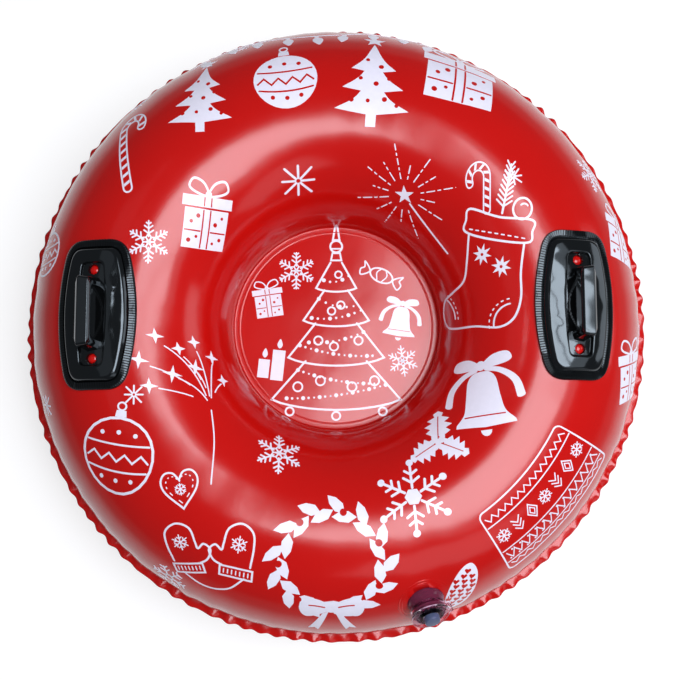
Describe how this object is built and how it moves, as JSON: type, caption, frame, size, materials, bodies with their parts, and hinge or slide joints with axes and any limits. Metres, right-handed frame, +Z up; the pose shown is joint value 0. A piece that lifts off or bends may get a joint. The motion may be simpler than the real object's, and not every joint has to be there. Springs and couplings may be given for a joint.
{
  "type": "snow tube",
  "caption": "Inflated round vinyl snow tube with a welded seat, a ruffled seam flange, moulded grab handles and a capped non-return air valve.",
  "frame": {"origin": "middle of the tube, on the ground it lies on", "axes": "+Z up through the seat, +X towards the right handle, -Y towards the side that carries the valve"},
  "size_m": [0.935, 0.935, 0.3395],
  "materials": {
    "red_vinyl": "glossy calendered PVC sheet, red, printed white on the upper side",
    "black_moulded_vinyl": "glossy injection-moulded soft PVC, near black",
    "clear_vinyl": "clear moulded soft PVC with a faint violet tint",
    "black_plastic": "hard black moulded plastic with a screw thread",
    "soft_rubber": "soft matte black rubber"
  },
  "bodies": {
    "tube": {"top_sheet": "red_vinyl", "bottom_sheet": "red_vinyl", "handle_right": "black_moulded_vinyl", "handle_left": "black_moulded_vinyl", "valve_body": "clear_vinyl", "cap_leash": "clear_vinyl"},
    "gasket": {"insert_gasket": "soft_rubber"},
    "insert": {"valve_insert": "black_plastic"},
    "flap": {"valve_flap": "soft_rubber"},
    "cap": {"valve_cap": "clear_vinyl"}
  },
  "joints": [
    {"name": "cap_hinge", "type": "hinge", "parent": "tube", "child": "cap", "pos_m": [0.16036, -0.40882, 0.2636], "axis": [-0.1755, 0.5565, 0.8121], "range_deg": [0, 165]},
    {"name": "insert_lift", "type": "slide", "parent": "tube", "child": "gasket", "axis": [0.2442, -0.7745, 0.5835], "range_m": [0, 0.0023]},
    {"name": "insert_turn", "type": "hinge", "parent": "gasket", "child": "insert", "pos_m": [0.12545, -0.39786, 0.24855], "axis": [0.2442, -0.7745, 0.5835], "range_deg": [0, 270]},
    {"name": "flap_slide", "type": "slide", "parent": "insert", "child": "flap", "axis": [-0.2442, 0.7745, -0.5835], "range_m": [0, 0.003], "stiffness_N_per_m": 50}
  ],
  "couplings": [
    {"joint": "insert_lift", "follows": "insert_turn", "m_per_rad": 0.00047746}
  ]
}
